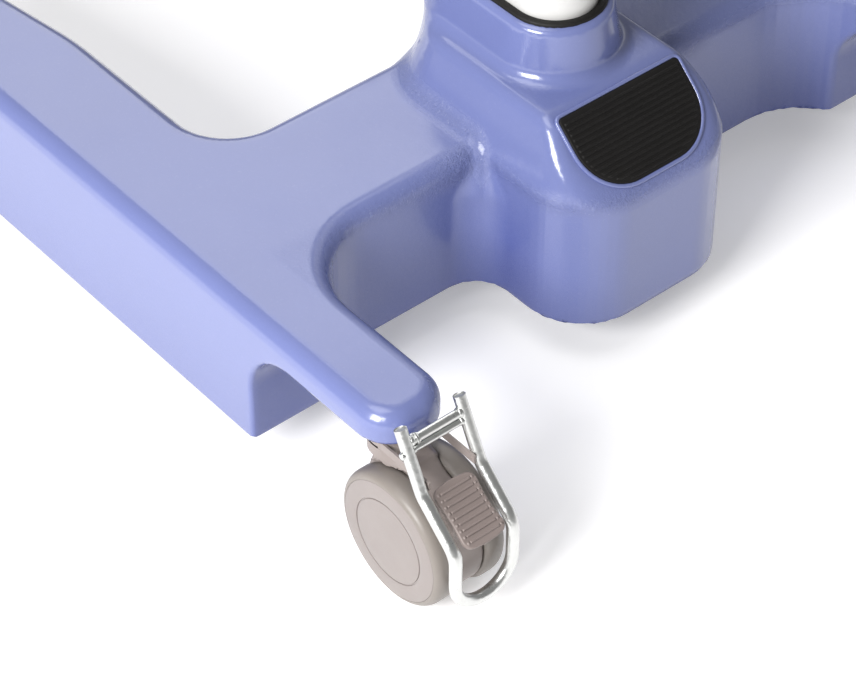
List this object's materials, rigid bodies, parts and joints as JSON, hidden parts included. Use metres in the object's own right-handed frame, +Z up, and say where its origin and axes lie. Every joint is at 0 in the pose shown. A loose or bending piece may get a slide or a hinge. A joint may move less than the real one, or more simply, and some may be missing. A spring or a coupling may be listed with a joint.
{
  "type": "patient lift hoist",
  "caption": "Mobile patient lift hoist with a cast H-shaped castor base, oval telescopic mast, boom and sling spreader bar.",
  "frame": {"origin": "on the floor under the centre of the whole hoist", "axes": "+Z up, +Y towards the patient side, +X to the right as the attendant behind the mast sees it"},
  "size_m": [0.776, 1.0688, 1.2947],
  "materials": {
    "chassis_paint": "satin enamel over a casting",
    "black_rubber": "matt",
    "bright_steel": "machined",
    "castor_plastic": "moulded",
    "pedal_plastic": "moulded, ribbed",
    "wheel_disc": "moulded, slightly worn",
    "zinc_rod": "bright zinc plate",
    "white_paint": "gloss powder coat",
    "guide_plastic": "acetal",
    "grey_plastic": "fine texture",
    "handle_paint": "powder coat",
    "battery_plastic": "fine texture",
    "red_plastic": "gloss",
    "button_plastic": "satin"
  },
  "bodies": {
    "base": {"chassis_shell": "chassis_paint", "tread_pad": "black_rubber", "mast_gasket": "black_rubber", "castor_stems": "bright_steel", "mast_outer": "white_paint", "mast_bolts": "bright_steel", "mast_collar": "grey_plastic", "guide_ring": "guide_plastic", "actuator_body": "grey_plastic", "push_handle": "handle_paint", "handle_grips": "black_rubber", "clamp_bolts": "bright_steel", "control_box": "grey_plastic", "handset_socket": "battery_plastic", "box_screws": "bright_steel"},
    "lift": {"mast_inner": "white_paint", "slide_shoe": "guide_plastic", "actuator_rod": "bright_steel", "mast_head": "white_paint", "head_bolts": "bright_steel", "boom": "white_paint"},
    "hanger": {"swivel_hanger": "zinc_rod", "hanger_nut": "bright_steel", "tilt_pin": "bright_steel"},
    "spreader": {"spreader_bar": "white_paint", "hook_sleeves": "black_rubber"},
    "castor_rl": {"castor_housing_rl": "castor_plastic", "castor_axle_rl": "bright_steel", "brake_pin_rl": "bright_steel", "guard_bail_rl": "zinc_rod", "guard_strap_rl": "zinc_rod"},
    "castor_rr": {"castor_housing_rr": "castor_plastic", "castor_axle_rr": "bright_steel", "brake_pin_rr": "bright_steel", "guard_bail_rr": "zinc_rod", "guard_strap_rr": "zinc_rod"},
    "castor_fl": {"castor_housing_fl": "castor_plastic", "castor_axle_fl": "bright_steel"},
    "castor_fr": {"castor_housing_fr": "castor_plastic", "castor_axle_fr": "bright_steel"},
    "pedal_rl": {"brake_pedal_rl": "pedal_plastic"},
    "pedal_rr": {"brake_pedal_rr": "pedal_plastic"},
    "battery": {"battery_pack": "battery_plastic"},
    "stop_knob": {"emergency_stop": "red_plastic"},
    "up_key": {"button_up": "button_plastic"},
    "down_key": {"button_down": "button_plastic"},
    "wheel_rl_outer": {"wheel_rl_outer": "wheel_disc"},
    "wheel_rl_inner": {"wheel_rl_inner": "wheel_disc"},
    "wheel_rr_outer": {"wheel_rr_outer": "wheel_disc"},
    "wheel_rr_inner": {"wheel_rr_inner": "wheel_disc"},
    "wheel_fl_outer": {"wheel_fl_outer": "wheel_disc"},
    "wheel_fl_inner": {"wheel_fl_inner": "wheel_disc"},
    "wheel_fr_outer": {"wheel_fr_outer": "wheel_disc"},
    "wheel_fr_inner": {"wheel_fr_inner": "wheel_disc"}
  },
  "joints": [
    {"name": "lift_slide", "type": "slide", "parent": "base", "child": "lift", "axis": [0, 0, 1], "range_m": [0, 0.5]},
    {"name": "hanger_swivel", "type": "hinge", "parent": "lift", "child": "hanger", "pos_m": [0, 0.33, 1.228], "axis": [0, 0, 1], "continuous": true},
    {"name": "spreader_tilt", "type": "hinge", "parent": "hanger", "child": "spreader", "pos_m": [0, 0.33, 1.146], "axis": [0, 1, 0], "range_deg": [-20, 20]},
    {"name": "swivel_rl", "type": "hinge", "parent": "base", "child": "castor_rl", "pos_m": [-0.35, -0.42, 0.15], "axis": [0, 0, 1], "range_deg": [-80, 80]},
    {"name": "roll_rl_outer", "type": "hinge", "parent": "castor_rl", "child": "wheel_rl_outer", "pos_m": [-0.35, -0.453, 0.0625], "axis": [1, 0, 0], "continuous": true},
    {"name": "roll_rl_inner", "type": "hinge", "parent": "castor_rl", "child": "wheel_rl_inner", "pos_m": [-0.35, -0.453, 0.0625], "axis": [1, 0, 0], "continuous": true},
    {"name": "swivel_rr", "type": "hinge", "parent": "base", "child": "castor_rr", "pos_m": [0.35, -0.42, 0.15], "axis": [0, 0, 1], "range_deg": [-80, 80]},
    {"name": "roll_rr_outer", "type": "hinge", "parent": "castor_rr", "child": "wheel_rr_outer", "pos_m": [0.35, -0.453, 0.0625], "axis": [1, 0, 0], "continuous": true},
    {"name": "roll_rr_inner", "type": "hinge", "parent": "castor_rr", "child": "wheel_rr_inner", "pos_m": [0.35, -0.453, 0.0625], "axis": [1, 0, 0], "continuous": true},
    {"name": "swivel_fl", "type": "hinge", "parent": "base", "child": "castor_fl", "pos_m": [-0.35, 0.496, 0.15], "axis": [0, 0, 1], "continuous": true},
    {"name": "roll_fl_outer", "type": "hinge", "parent": "castor_fl", "child": "wheel_fl_outer", "pos_m": [-0.35, 0.463, 0.0625], "axis": [1, 0, 0], "continuous": true},
    {"name": "roll_fl_inner", "type": "hinge", "parent": "castor_fl", "child": "wheel_fl_inner", "pos_m": [-0.35, 0.463, 0.0625], "axis": [1, 0, 0], "continuous": true},
    {"name": "swivel_fr", "type": "hinge", "parent": "base", "child": "castor_fr", "pos_m": [0.35, 0.496, 0.15], "axis": [0, 0, 1], "continuous": true},
    {"name": "roll_fr_outer", "type": "hinge", "parent": "castor_fr", "child": "wheel_fr_outer", "pos_m": [0.35, 0.463, 0.0625], "axis": [1, 0, 0], "continuous": true},
    {"name": "roll_fr_inner", "type": "hinge", "parent": "castor_fr", "child": "wheel_fr_inner", "pos_m": [0.35, 0.463, 0.0625], "axis": [1, 0, 0], "continuous": true},
    {"name": "brake_rl", "type": "hinge", "parent": "castor_rl", "child": "pedal_rl", "pos_m": [-0.35, -0.499, 0.103], "axis": [1, 0, 0], "range_deg": [0, 8]},
    {"name": "brake_rr", "type": "hinge", "parent": "castor_rr", "child": "pedal_rr", "pos_m": [0.35, -0.499, 0.103], "axis": [1, 0, 0], "range_deg": [0, 8]},
    {"name": "battery_lift", "type": "slide", "parent": "base", "child": "battery", "axis": [0, 0, 1], "range_m": [0, 0.06]},
    {"name": "stop_press", "type": "slide", "parent": "base", "child": "stop_knob", "axis": [0, 1, 0], "range_m": [0, 0.004], "stiffness_N_per_m": 1000, "springref_m": -0.002},
    {"name": "up_press", "type": "slide", "parent": "base", "child": "up_key", "axis": [0, 1, 0], "range_m": [0, 0.0025], "stiffness_N_per_m": 400, "springref_m": -0.001},
    {"name": "down_press", "type": "slide", "parent": "base", "child": "down_key", "axis": [0, 1, 0], "range_m": [0, 0.0025], "stiffness_N_per_m": 400, "springref_m": -0.001}
  ]
}
